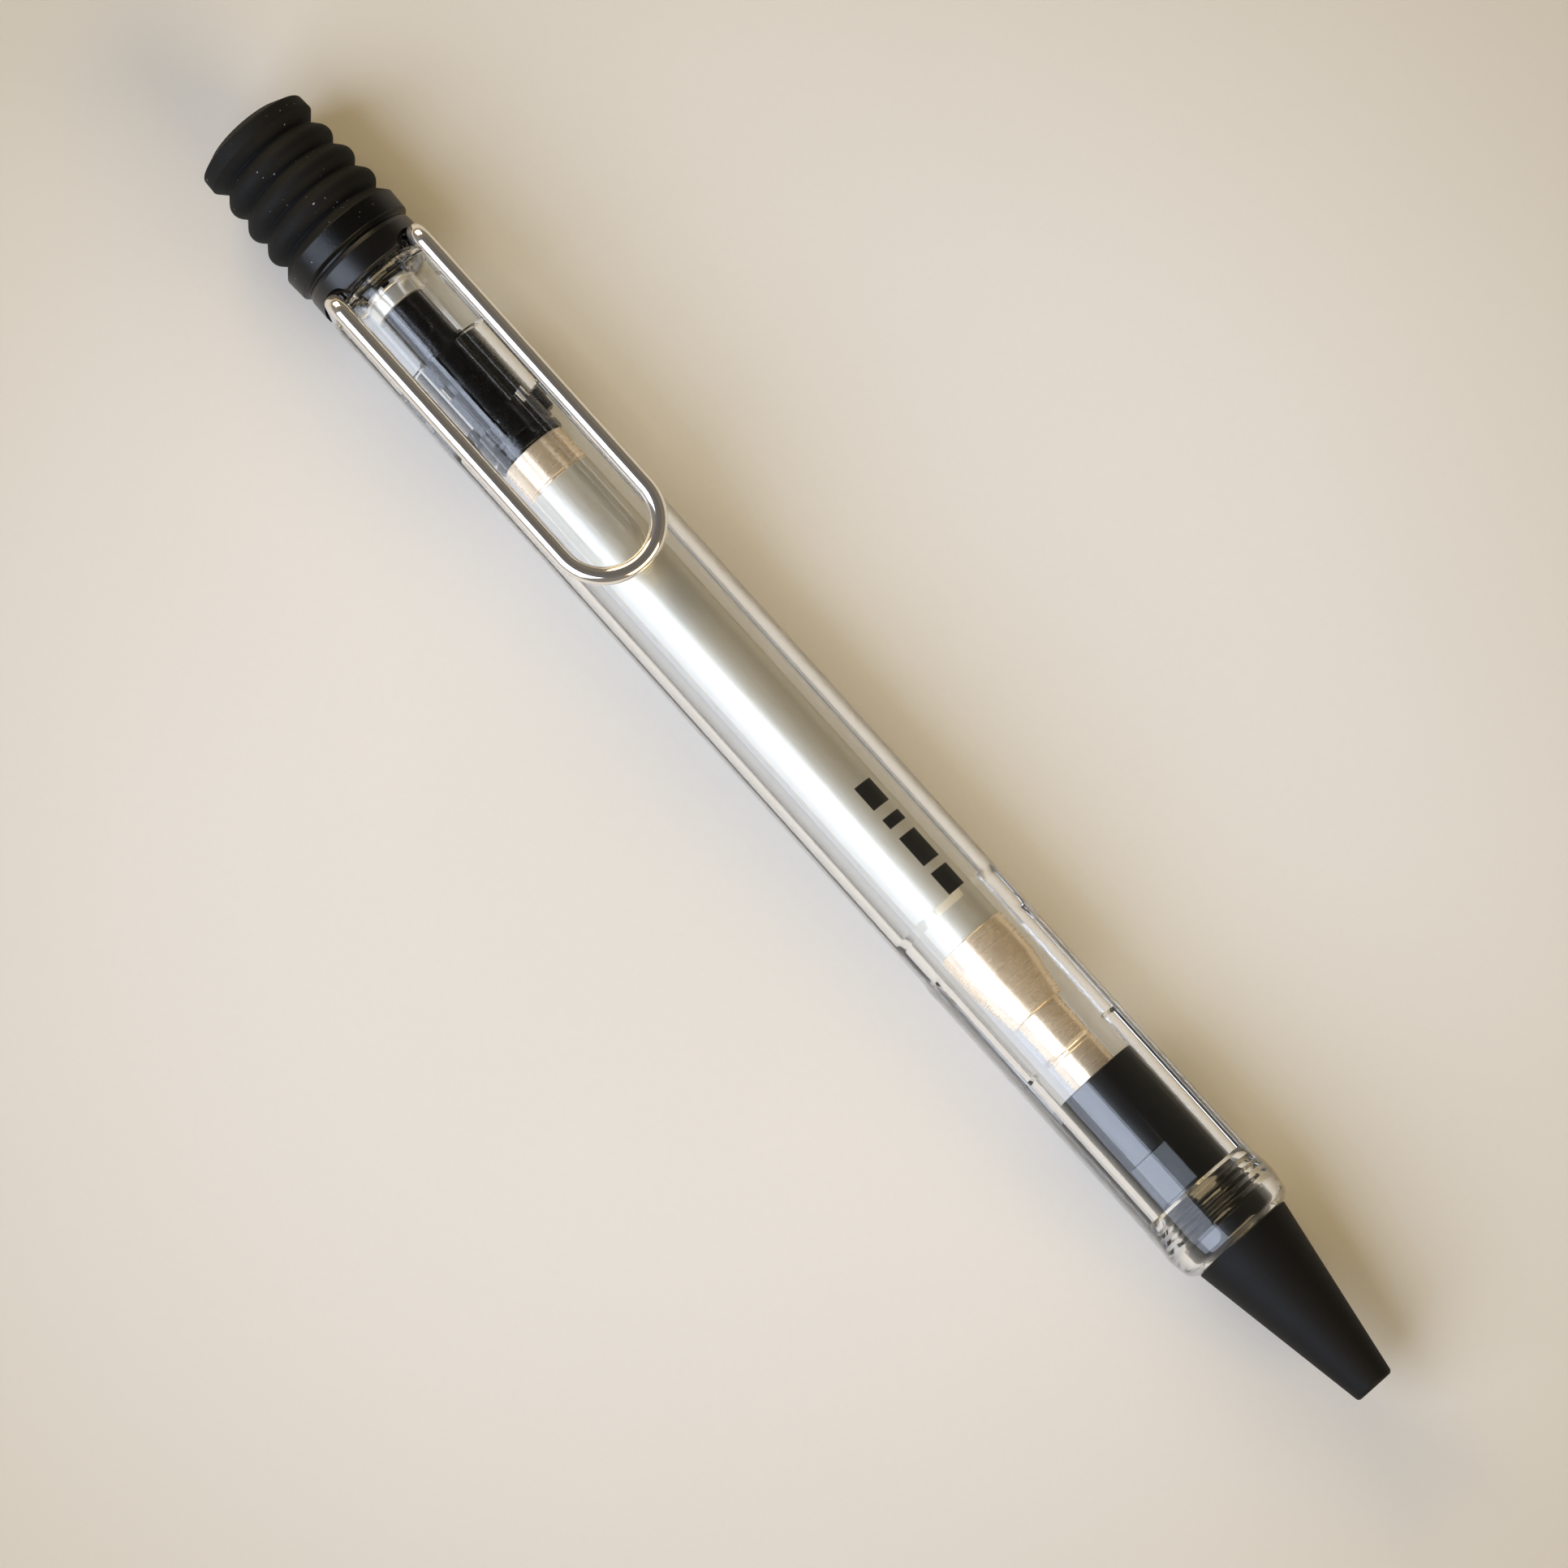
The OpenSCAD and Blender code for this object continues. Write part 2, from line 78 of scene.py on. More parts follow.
COLLAR_S = station("collar", 0)
COLLAR_END = station("collar", 1)
SHOULDER_S = COLLAR_END + 0.15
FRONT_S = station("barrel", 1)
PEN_END = station("nose_cone", 1)
SLEEVE_S = station("nose_cone", 0)
THREAD_S = FRONT_S - 5.0
BORE_S = SHOULDER_S + 0.95
CAM_S = SHOULDER_S + 8.55
CAM_END = CAM_S + 7.6
FOOT_S = station("barrel", 0) - 0.2

BARREL_R = half_width("collar") + 0.25
STUB_R = BARREL_R - 1.4
RING_BORE_R = STUB_R + 0.01      # the collar and the rubber's foot fit round the stub
REFILL_R = half_width("refill_tube")
BORE_R = BARREL_R - 1.2
CAM_R = 3.25
SLOT_R = CAM_R + 0.65
SLEEVE_R = 3.75
SEAT_R = SLEEVE_R + 0.1
GRIP_R = 4.0
THREAD_R = SLEEVE_R + 0.35
NOSE_R = half_width("nose_cone")
NOSE_END_R = 1.76
THREAD_BORE_R = THREAD_R + 0.1
STEM_BORE_R = 2.45               # the barrel's rear opening, which the plunger passes through
THREAD_PITCH = 0.7
THREAD_TURNS = 4
POINT_R = 1.15
POINT_SEAT_R = POINT_R + 0.01

WIRE_R = 0.75
CLIP_W = half_width("clip") - WIRE_R
CLIP_S = station("clip", 0) + WIRE_R
CLIP_L = 33.3

RUBBER_FOLDS = 3
FOLD_PITCH = 2.57
HEAD_L = 1.95


# ---------------------------------------------------------------- outlines

def corner(before, here, after, radius, points):
    """The points of an arc that rounds one corner of an outline."""
    if radius == 0:
        return [here]
    back, ahead = (before - here).normalized(), (after - here).normalized()
    half = back.angle(ahead) / 2
    middle = here + (back + ahead).normalized() * radius / math.sin(half)
    first = here + back * radius / math.tan(half) - middle
    last = here + ahead * radius / math.tan(half) - middle
    sweep = first.angle_signed(last)
    return [middle + Matrix.Rotation(-sweep * i / points, 2) @ first for i in range(points + 1)]


def rounded(corners, points=6, closed=True):
    """Outline through (station, radius, rounding) corners, as 2D points."""
    flat = [Vector(c[:2]) for c in corners]
    out = []
    for i, c in enumerate(corners):
        at_end = not closed and i in (0, len(corners) - 1)
        out += corner(flat[i - 1], flat[i], flat[(i + 1) % len(flat)], 0 if at_end else c[2], points)
    return out


def spread(s0, s1, radius, gap):
    """Plain corners at an even gap along a straight stretch."""
    count = max(1, round((s1 - s0) / gap))
    return [(s0 + (s1 - s0) * i / count, radius, 0) for i in range(count + 1)]


# ---------------------------------------------------------------- meshes

def spun(bm, points, closed):
    """Turns an outline about the pen's axis inside bm, and returns the new vertices."""
    old = set(bm.verts)
    verts = [bm.verts.new((p.x, 0, p.y)) for p in points]
    pairs = zip(verts, verts[1:] + verts[:1]) if closed else zip(verts, verts[1:])
    edges = [bm.edges.new(pair) for pair in pairs]
    bmesh.ops.spin(bm, geom=verts + edges, cent=(0, 0, 0), axis=(1, 0, 0), dvec=(0, 0, 0),
                   angle=math.tau, steps=STEPS, use_merge=True, use_duplicate=False)
    return [v for v in bm.verts if v not in old]


def polar(v):
    """(station, clock angle in degrees, radius) of a vertex that still lies about the X axis."""
    return v.co.x, math.degrees(math.atan2(v.co.y, v.co.z)), math.hypot(v.co.y, v.co.z)


def place(v, s, angle, radius):
    """Puts a vertex at a station, clock angle and radius."""
    v.co = (s, radius * math.sin(math.radians(angle)), radius * math.cos(math.radians(angle)))


def away_from(angle, facing):
    """Angle between two clock angles, 0 to 180 degrees."""
    return abs((angle - facing + 180) % 360 - 180)


def finished(bm, name, material, body, stands_for, sharp=35):
    """Makes bm, in millimetres about the pen's axis, into a piece that rides on a body."""
    bmesh.ops.remove_doubles(bm, verts=bm.verts, dist=0.0005)
    bmesh.ops.recalc_face_normals(bm, faces=bm.faces)
    bmesh.ops.translate(bm, verts=bm.verts, vec=(BUTTON_X, 0, AXIS_Z))
    bmesh.ops.scale(bm, verts=bm.verts, vec=(MM, MM, MM))
    mesh = bpy.data.meshes.new(name)
    bm.to_mesh(mesh)
    bm.free()
    mesh.polygons.foreach_set("use_smooth", [True] * len(mesh.polygons))
    mesh.set_sharp_from_angle(angle=math.radians(sharp))
    mesh.materials.append(material)
    piece = bpy.data.objects.new(name, mesh)
    bpy.context.scene.collection.objects.link(piece)
    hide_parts(*stands_for)
    if body:
        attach(piece, body)
    return piece


def turned(name, corners, material, body, stands_for):
    """A plain turned piece."""
    bm = bmesh.new()
    spun(bm, rounded(corners), closed=True)
    return finished(bm, name, material, body, stands_for)


# ---------------------------------------------------------------- shader maths

class Value:
    """A socket in a material that Python's operators work on."""

    def __init__(self, paint, socket):
        self.paint = paint
        self.socket = socket

    def math(self, operation, *others):
        return self.paint.node("ShaderNodeMath", {"operation": operation}, [self, *others])

    def __add__(self, other):
        return self.math("ADD", other)

    def __sub__(self, other):
        return self.math("SUBTRACT", other)

    def __mul__(self, other):
        return self.math("MULTIPLY", other)

    def __truediv__(self, other):
        return self.math("DIVIDE", other)

    def __pow__(self, other):
        return self.math("POWER", other)

    __radd__ = __add__
    __rmul__ = __mul__

    def __rsub__(self, other):
        return self.paint.node("ShaderNodeMath", {"operation": "SUBTRACT"}, [other, self])

    def above(self, edge, blur):
        """0 below the edge, 1 above it, with a soft step between."""
        return self.paint.node("ShaderNodeMapRange", {"interpolation_type": "SMOOTHSTEP"},
                               {"Value": self, "From Min": edge - blur / 2, "From Max": edge + blur / 2})

    def between(self, low, high, blur):
        """1 between two edges and 0 outside them."""
        return self.above(low, blur) * (1 - self.above(high, blur))


class Nodes:
    """A node tree, with the few kinds of node that the materials and the sky need."""

    def __init__(self, tree):
        self.tree = tree

    def node(self, kind, settings, inputs, output=0):
        """Adds a node, with its settings first and then its sockets' values or links."""
        new = self.tree.nodes.new(kind)
        for name, value in settings.items():
            setattr(new, name, value)
        for key, value in inputs.items() if isinstance(inputs, dict) else enumerate(inputs):
            if isinstance(value, Value):
                self.tree.links.new(value.socket, new.inputs[key])
            else:
                new.inputs[key].default_value = value
        return Value(self, new.outputs[output])

    def vector(self, x, y, z):
        return self.node("ShaderNodeCombineXYZ", {}, [x, y, z])

    def noise(self, vector, scale, detail=3.0, roughness=0.5):
        return self.node("ShaderNodeTexNoise", {}, {"Vector": vector, "Scale": scale, "Detail": detail,
                                                    "Roughness": roughness})

    def mix(self, share, dark, light):
        """Between two colours, or two colour sockets, by a share."""
        node = self.tree.nodes.new("ShaderNodeMix")
        node.data_type = "RGBA"
        self.tree.links.new(share.socket, node.inputs["Factor"])
        for key, value in ((6, dark), (7, light)):
            if isinstance(value, Value):
                self.tree.links.new(value.socket, node.inputs[key])
            else:
                node.inputs[key].default_value = (*value, 1)
        return Value(self, node.outputs[2])


class Paint(Nodes):
    """A procedural material on one Principled shader."""

    def __init__(self, name, **shader):
        self.material = bpy.data.materials.new(name)
        self.material.use_nodes = True
        super().__init__(self.material.node_tree)
        self.shader = self.tree.nodes["Principled BSDF"]
        for socket, value in shader.items():
            self.shader.inputs[socket.replace("_", " ")].default_value = value

    def drive(self, socket, value):
        """Links a value to one of the shader's sockets."""
        self.tree.links.new(value.socket, self.shader.inputs[socket])

    def place(self):
        """Object coordinates in millimetres: along the pen, and across and up from its axis."""
        coords = self.node("ShaderNodeTexCoord", {}, {}, "Object")
        split = self.node("ShaderNodeSeparateXYZ", {}, [coords]).socket.node
        x, y, z = (Value(self, split.outputs[i]) for i in range(3))
        return x / MM - BUTTON_X, y / MM, z / MM - AXIS_Z

    def bump(self, height, strength, distance=0.00005):
        """Raises the surface by a height of 0 to 1, over a distance in metres."""
        normal = self.node("ShaderNodeBump", {}, {"Strength": strength, "Distance": distance,
                                                  "Height": height})
        self.drive("Normal", normal)


# ---------------------------------------------------------------- materials

def clear_plastic():
    """Polished clear plastic, with soft rims, which lets the lamps through to what is inside."""
    paint = Paint("clear_plastic", Base_Color=(0.985, 0.99, 0.985, 1), Roughness=0.02, IOR=1.5,
                  Transmission_Weight=1.0)
    along, across, up = paint.place()
    ripple = paint.noise(paint.vector(along * 0.12, across, up), 0.9, 1.0)
    paint.bump(ripple, 0.002, 0.0001)
    light = paint.node("ShaderNodeLightPath", {}, {}, "Is Shadow Ray")
    edge = paint.node("ShaderNodeLayerWeight", {}, {"Blend": 0.35}, "Facing")
    face_on = paint.node("ShaderNodeBsdfTransparent", {}, {"Color": (0.93, 0.925, 0.91, 1)})
    edge_on = paint.node("ShaderNodeBsdfTransparent", {}, {"Color": (0.42, 0.4, 0.36, 1)})
    see = paint.node("ShaderNodeMixShader", {}, [edge, face_on, edge_on])
    glass = Value(paint, paint.shader.outputs[0])
    rim = edge.above(0.5, 0.4) * 0.75
    plain = paint.node("ShaderNodeBsdfTransparent", {}, {"Color": (0.96, 0.955, 0.94, 1)})
    soft_glass = paint.node("ShaderNodeMixShader", {}, [rim, glass, plain])
    both = paint.node("ShaderNodeMixShader", {}, [light, soft_glass, see])
    out = paint.tree.nodes["Material Output"]
    paint.tree.links.new(both.socket, out.inputs["Surface"])
    return paint.material


def black_plastic(name, rough, grain=0.35, dull_from=None):
    """Black plastic with a fine moulded texture and a sheen, which stops at dull_from if that is given."""
    sheen = 0.6
    paint = Paint(name, Roughness=rough, IOR=1.46, Coat_Weight=sheen, Coat_Roughness=rough - 0.04)
    along, across, up = paint.place()
    spot = paint.vector(along, across, up)
    fine = paint.noise(spot, 7.0, 4.0, 0.6)
    cloud = paint.noise(spot, 0.5, 2.0)
    dark, pale = (0.003, 0.003, 0.00318), (0.0051, 0.0051, 0.0054)
    paint.drive("Base Color", paint.mix(cloud * 0.6 + fine * 0.4, dark, pale))
    haze = fine * 0.12 + cloud * 0.08 + (rough - 0.1)
    if dull_from:
        dull = along.above(dull_from, 0.2)
        paint.drive("Coat Weight", (1 - dull) * sheen)
        haze = haze + dull * 0.25
    paint.drive("Roughness", haze)
    paint.bump(fine, grain)
    return paint.material


def black_rubber():
    """Matte black rubber with a few specks of dust, smoother on its foot ring."""
    paint = Paint("black_rubber", Roughness=0.5, IOR=1.48)
    along, across, up = paint.place()
    spot = paint.vector(along, across, up)
    fine = paint.noise(spot, 5.0, 5.0, 0.65)
    cloud = paint.noise(spot, 0.35, 3.0)
    dust = paint.noise(spot, 3.1, 2.0, 0.4).above(0.745, 0.03) * cloud.above(0.45, 0.2)
    body = paint.mix(cloud, (0.0025, 0.0027, 0.0025), (0.005, 0.0053, 0.005))
    paint.drive("Base Color", paint.mix(dust, body, (0.32, 0.32, 0.31)))
    paint.drive("Roughness", fine * 0.2 + cloud * 0.1 + 0.58 - along.above(FOOT_S, 0.2) * 0.36)
    paint.bump(fine, 0.3)
    return paint.material


def chrome():
    """Bright plated wire, with faint drawing lines."""
    paint = Paint("chrome_wire", Metallic=0.84, Base_Color=(0.88, 0.84, 0.79, 1), Roughness=0.08)
    along, across, up = paint.place()
    lines = paint.noise(paint.vector(along * 0.15, across, up), 6.0, 3.0)
    paint.drive("Roughness", lines * 0.1 + 0.05)
    paint.bump(lines, 0.05, 0.00003)
    return paint.material


def tube_metal():
    """The refill's satin drawn tube, with plain printed bars in place of lettering."""
    paint = Paint("refill_metal", Roughness=0.3)
    along, across, up = paint.place()
    lines = paint.noise(paint.vector(along * 0.04, across, up), 9.0, 4.0, 0.6)
    fine = paint.noise(paint.vector(along, across, up), 6.0, 3.0)
    metal = paint.mix(lines, (0.58, 0.565, 0.495), (0.68, 0.665, 0.61))
    bars = None
    for first, last in PRINTED_BARS:
        bar = along.between(first, last, 0.1)
        bars = bar if bars is None else bars + bar
    ink = bars * across.between(0.75, 2.3, 0.06) * up.above(0, 0.1)
    paint.drive("Base Color", paint.mix(ink, metal, (0.015, 0.015, 0.015)))
    paint.drive("Metallic", (1 - ink) * 0.68)
    paint.drive("Roughness", lines * 0.12 + fine * 0.06 + 0.37)
    paint.bump(lines, 0.06, 0.00003)
    return paint.material


def turned_metal(name, dark, light, rough, metallic=1.0):
    """Metal turned on a lathe, with fine rings round the axis. Below 1, metallic makes it mirror less."""
    paint = Paint(name, Metallic=metallic, Roughness=rough)
    along, across, up = paint.place()
    rings = paint.noise(paint.vector(along / RING_PITCH, across * 0.1, up * 0.1), 1.0, 3.0)
    cloud = paint.noise(paint.vector(along, across, up), 0.6, 2.0)
    paint.drive("Base Color", paint.mix(rings * 0.35 + cloud * 0.65, dark, light))
    paint.drive("Roughness", rings * 0.08 + cloud * 0.08 + (rough - 0.07))
    paint.bump(rings, 0.008, 0.00003)
    return paint.material


def ink_paste():
    """Very dark blue ink."""
    paint = Paint("ink", Roughness=0.35)
    along, across, up = paint.place()
    streaks = paint.noise(paint.vector(along * 0.2, across, up), 2.0, 2.0)
    paint.drive("Base Color", paint.mix(streaks, (0.006, 0.007, 0.03), (0.012, 0.014, 0.05)))
    return paint.material


def paper():
    """Plain cream paper with a faint tooth, and painted shade that darkens it far from the pen."""
    paint = Paint("paper", Roughness=0.75)
    along, across, up = paint.place()
    spot = paint.vector(along, across, up)
    fibre = paint.noise(spot, 1.6, 6.0, 0.7)
    cloud = paint.noise(spot, 0.03, 2.0)
    tone = paint.mix(fibre * 0.5 + cloud * 0.5, (0.76, 0.745, 0.715), (0.82, 0.805, 0.775))
    away = ((along - PEN_END / 2) ** 2.0 + across * across) ** 0.5
    # Painted shade: far from the pen the paper's colour turns to a darker brown.
    paint.drive("Base Color", paint.mix(away.above(PAINTED_SHADE_EDGE, PAINTED_SHADE_BLUR), tone, (0.55, 0.50, 0.40)))
    paint.bump(fibre, 0.12)
    return paint.material


PRINTED_BARS = [(74.2, 76.6), (77.6, 78.6), (79.6, 82.6), (83.4, 85.8)]    # first and last stations
RING_PITCH = 0.16                # tool marks on turned metal
PAINTED_SHADE_EDGE = 82.8                # where the painted shade on the paper is half way to its darkest
PAINTED_SHADE_BLUR = 101.2               # how wide that change is

CLEAR = clear_plastic()
BLACK = black_plastic("black_plastic", 0.39, dull_from=FRONT_S + 0.1)
BLACK_INNER = black_plastic("black_inner_plastic", 0.26, 0.1)
RUBBER = black_rubber()
CHROME = chrome()
TUBE = tube_metal()
BRASS = turned_metal("refill_brass", (0.77, 0.62, 0.45), (0.92, 0.80, 0.63), 0.26, metallic=0.62)
BRIGHT = turned_metal("bright_ring", (0.80, 0.77, 0.70), (0.90, 0.88, 0.82), 0.2, metallic=0.65)
STEEL = turned_metal("point_steel", (0.60, 0.60, 0.58), (0.74, 0.74, 0.72), 0.25)
INK = ink_paste()


# ---------------------------------------------------------------- barrel

NO_CUT = 99.0
SPLINES = 30
SPLINES_S = SHOULDER_S - 0.95
SPLINES_END = SHOULDER_S - 0.05
FLAT_AWAY = BARREL_R - 0.25
FACET_AWAY = BARREL_R - 0.42
FACET_ANGLE = 79.5
FACET_END = FRONT_S - 6.1
FACET_S = FACET_END - 23.5
FLAT_END = FACET_S - 3.4
SCOOP_R = 7.0
SOFT_EDGE = 0.03
SLOT_MID = -26.5
SLOT_ANGLE = 25.0
TOOTH_ANGLE = (120.0 - SLOT_ANGLE) / 2
CAM_RISE = 1.1
POCKET_R = WIRE_R + 0.1
POCKET_Z = -0.75


def soft_min(a, b, blend):
    """The smaller of two values, with a rounded change from one to the other."""
    near = max(blend - abs(a - b), 0) / blend
    return min(a, b) - near * near * blend / 4


def cut_radius(s, angle, facing, away, first, last):
    """Radius that a milled flat leaves at a place, or a large one where it doesn't reach."""
    turn = away_from(angle, facing)
    over = max(first - s, s - last, 0)
    if turn > 50 or over >= SCOOP_R:
        return NO_CUT
    return (away + SCOOP_R - math.sqrt(SCOOP_R ** 2 - over ** 2)) / math.cos(math.radians(turn))


def pocket_reach(y, radius, inward=0):
    """How far a round leg pocket reaches along the pen, at a distance to the side, or none."""
    off = abs(y) - CLIP_W + inward
    return None if abs(off) >= radius else math.sqrt(radius ** 2 - off ** 2)


def shape_outside(v):
    """Side flats, finger facets, splines on the stub and round pockets for the clip's legs."""
    s, angle, r = polar(v)
    if s > SHOULDER_S:
        for side in (-1, 1):
            flat = cut_radius(s, angle, side * 90, FLAT_AWAY, 0, FLAT_END)
            facet = cut_radius(s, angle, side * FACET_ANGLE, FACET_AWAY, FACET_S, FACET_END)
            r = soft_min(soft_min(r, flat, SOFT_EDGE), facet, SOFT_EDGE)
    elif SPLINES_S + 0.05 < s < SPLINES_END:
        r += 0.1 * math.cos(math.radians(angle * SPLINES))
    y, z = r * math.sin(math.radians(angle)), r * math.cos(math.radians(angle))
    reach = pocket_reach(y, POCKET_R)
    if reach is not None and z > POCKET_Z and SHOULDER_S - 0.01 < s < CLIP_S + reach:
        s = CLIP_S + reach
    place(v, s, angle, r)
    if abs(s - CLIP_S) < POCKET_R and s < SHOULDER_S and z > POCKET_Z:
        free = CLIP_W - math.sqrt(POCKET_R ** 2 - (s - CLIP_S) ** 2)
        v.co.y = max(-free, min(free, y))


def tooth_share(angle):
    """How far an angle is across a cam tooth, from 0 at its long side, or none in a deep slot."""
    turn = (angle - SLOT_MID + SLOT_ANGLE / 2) % 120
    if turn < SLOT_ANGLE:
        return None
    return (turn - SLOT_ANGLE) % TOOTH_ANGLE / TOOTH_ANGLE


def shape_inside(v):
    """Deep slots and sloping tooth ends of the cam ribs."""
    s, angle, r = polar(v)
    share = tooth_share(angle + 0.01)
    if share is None and r < SLOT_R and CAM_S - 0.01 < s < CAM_END + 0.01:
        r = SLOT_R
    if share is not None and abs(s - CAM_END) < 0.01:
        s -= CAM_RISE * share
    place(v, s, angle, r)


def barrel():
    """One clear moulding: stub, shoulder, grip, swollen front ring, cam ribs and thread."""
    bm = bmesh.new()
    stub_s = FOOT_S + 0.2
    outside = rounded(
        [(stub_s, STEM_BORE_R, 0), (stub_s, STUB_R, 0.3)]
        + spread(SPLINES_S, SPLINES_END, STUB_R, 0.3)
        + [(SHOULDER_S, STUB_R, 0), (SHOULDER_S, BARREL_R, 1.2), (SHOULDER_S + 3, BARREL_R, 0)]
        + spread(FLAT_END - 1, FACET_S + 1, BARREL_R, 0.2)
        + spread(FACET_END - 0.5, FACET_END + 1.5, BARREL_R, 0.2)
        + [(FRONT_S - 3.6, BARREL_R, 0.5), (FRONT_S - 2.3, BARREL_R + 0.06, 1.2),
           (FRONT_S - 0.5, BARREL_R - 0.25, 0.7), (FRONT_S, NOSE_R + 0.1, 0.1),
           (FRONT_S, THREAD_BORE_R, 0)],
        8, closed=False)
    thread = []
    for turn in range(THREAD_TURNS, 0, -1):
        s = THREAD_S + turn * THREAD_PITCH
        thread += [(s, THREAD_BORE_R, 0.02), (s - THREAD_PITCH / 2, THREAD_BORE_R + 0.18, 0.05)]
    inside = rounded(
        [(FRONT_S, THREAD_BORE_R, 0)] + thread
        + [(THREAD_S - 0.2, THREAD_BORE_R, 0.05), (THREAD_S - 0.5, SEAT_R, 0.05),
           (SLEEVE_S - 2.8, SEAT_R, 0.3), (SLEEVE_S - 3.2, GRIP_R, 0.3),
           (FACET_S - 5.2, GRIP_R, 0.5), (FACET_S - 6, BORE_R, 0.5),
           (CAM_END, BORE_R, 0), (CAM_END, CAM_R, 0), (CAM_S, CAM_R, 0), (CAM_S, BORE_R, 0),
           (BORE_S, BORE_R, 0.35), (BORE_S, STEM_BORE_R, 0.1), (stub_s, STEM_BORE_R, 0)],
        5, closed=False)
    for v in spun(bm, outside, closed=False):
        shape_outside(v)
    for v in spun(bm, inside, closed=False):
        shape_inside(v)
    return finished(bm, "clear_barrel", CLEAR, "root", ["barrel"], sharp=30)


# ---------------------------------------------------------------- collar, bellows and clip

def collar():
    """Black ring on the barrel's stub, with a notch behind each leg of the clip."""
    bm = bmesh.new()
    r = BARREL_R - 0.25
    corners = ([(COLLAR_S, RING_BORE_R, 0), (COLLAR_S, r - 0.12, 0.15), (COLLAR_S + 0.5, r, 0.3)]
               + spread(COLLAR_END - 0.9, COLLAR_END - 0.2, r, 0.1)
               + [(COLLAR_END, r, 0.15), (COLLAR_END, RING_BORE_R, 0)])
    for v in spun(bm, rounded(corners, 5), closed=True):
        s, angle, radius = polar(v)
        reach = pocket_reach(v.co.y, WIRE_R + 0.55, 0.3)
        if reach is not None and v.co.z > POCKET_Z and s > CLIP_S - reach:
            s = CLIP_S - reach
        place(v, s, angle, radius)
    return finished(bm, "black_collar", BLACK, "root", ["collar"], sharp=40)


def crest(k):
    """Radius of a fold's crest in the rubber's wall, larger towards the barrel."""
    return BARREL_R + 0.19 - 0.27 * (1 - k / (RUBBER_FOLDS - 1)) ** 2


def valley(k):
    """Radius of the valley before a fold."""
    return BARREL_R + 0.19 - 0.95 - 0.35 * (1 - k / RUBBER_FOLDS) ** 2


def bellows():
    """Rubber cover: its head goes with the button, and its foot stays on the barrel."""
    head_r = BARREL_R - 0.22
    first = HEAD_L + 1.0
    wall, crest_round = 0.85, 0.95
    outside = [(0, 0, 0), (0, 3.7, 0.35), (0.72, head_r - 0.06, 0.25), (HEAD_L, head_r, 0.15)]
    inside = []
    for k in range(RUBBER_FOLDS):
        s = first + k * FOLD_PITCH
        top_s = s + 0.56 * FOLD_PITCH
        outside += [(s, valley(k), 0.08), (top_s, crest(k) + 0.15, crest_round)]
        inside += [(s, valley(k) - wall, 0.2), (top_s, crest(k) - 0.935, 0.2)]
    end = first + RUBBER_FOLDS * FOLD_PITCH
    outside += [(end, valley(RUBBER_FOLDS), 0.08), (FOOT_S, BARREL_R + 0.12, 0.2),
                (FOOT_S + 1.85, BARREL_R + 0.03, 0.15), (COLLAR_S - 0.2, BARREL_R - 0.4, 0.05),
                (COLLAR_S, BARREL_R - 0.4, 0), (COLLAR_S, RING_BORE_R, 0), (FOOT_S + 0.1, RING_BORE_R, 0),
                (FOOT_S - 0.2, valley(RUBBER_FOLDS) - wall, 0.1)]
    inside = inside[::-1] + [(1.25, head_r - 1.08, 0.3), (1.25, 0, 0)]
    bm = bmesh.new()
    spun(bm, rounded(outside + inside, 6), closed=True)
    piece = finished(bm, "rubber_bellows", RUBBER, None, ["bellows"], sharp=50)
    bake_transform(piece)
    return piece


def clip():
    """One wire, swept through its bends: leg, arm, round end, arm, leg."""
    bend, lift = 1.5, 0.6
    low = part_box("clip")[0].z / MM - AXIS_Z
    arm = CLIP_L - bend - CLIP_W - WIRE_R
    tilt = math.atan2(lift, CLIP_L)
    high = BARREL_R + 0.05 + WIRE_R + lift
    bm = bmesh.new()
    ring = bmesh.ops.create_circle(bm, segments=40, radius=WIRE_R, cap_ends=False)["verts"]
    bmesh.ops.translate(bm, verts=ring, vec=(0, -CLIP_W, low - high))
    edges = list({e for v in ring for e in v.link_edges})

    def push(edges, vec):
        """Sweeps the wire's open rim straight on, and returns the new rim."""
        geom = bmesh.ops.extrude_edge_only(bm, edges=edges)["geom"]
        bmesh.ops.translate(bm, verts=[g for g in geom if isinstance(g, bmesh.types.BMVert)], vec=vec)
        return [g for g in geom if isinstance(g, bmesh.types.BMEdge) and len(g.link_faces) == 1]

    def swing(edges, cent, axis, angle, steps):
        """Sweeps the rim round a bend, and returns the new rim."""
        verts = list({v for e in edges for v in e.verts})
        geom = bmesh.ops.spin(bm, geom=verts + edges, cent=cent, axis=axis, dvec=(0, 0, 0), angle=angle,
                              steps=steps, use_merge=False, use_duplicate=False)["geom_last"]
        return [g for g in geom if isinstance(g, bmesh.types.BMEdge)]

    start = edges
    edges = push(edges, (0, 0, high - low - bend))
    edges = swing(edges, (bend, -CLIP_W, -bend), (0, 1, 0), math.pi / 2, 14)
    edges = push(edges, (arm, 0, 0))
    edges = swing(edges, (bend + arm, 0, 0), (0, 0, 1), math.pi, 48)
    edges = push(edges, (-arm, 0, 0))
    edges = swing(edges, (bend, CLIP_W, -bend), (0, -1, 0), math.pi / 2, 14)
    edges = push(edges, (0, 0, low - high + bend))
    for rim in (start, edges):
        cap = bmesh.ops.contextual_create(bm, geom=rim)["faces"]
        bmesh.ops.inset_region(bm, faces=cap, thickness=0.1, depth=0.08)
    bmesh.ops.rotate(bm, verts=bm.verts, cent=(0, 0, low - high), matrix=Matrix.Rotation(tilt, 3, "Y"))
    bmesh.ops.translate(bm, verts=bm.verts, vec=(CLIP_S, 0, high))
    return finished(bm, "wire_clip", CHROME, "clip", ["clip"], sharp=45)


# ---------------------------------------------------------------- inside the barrel

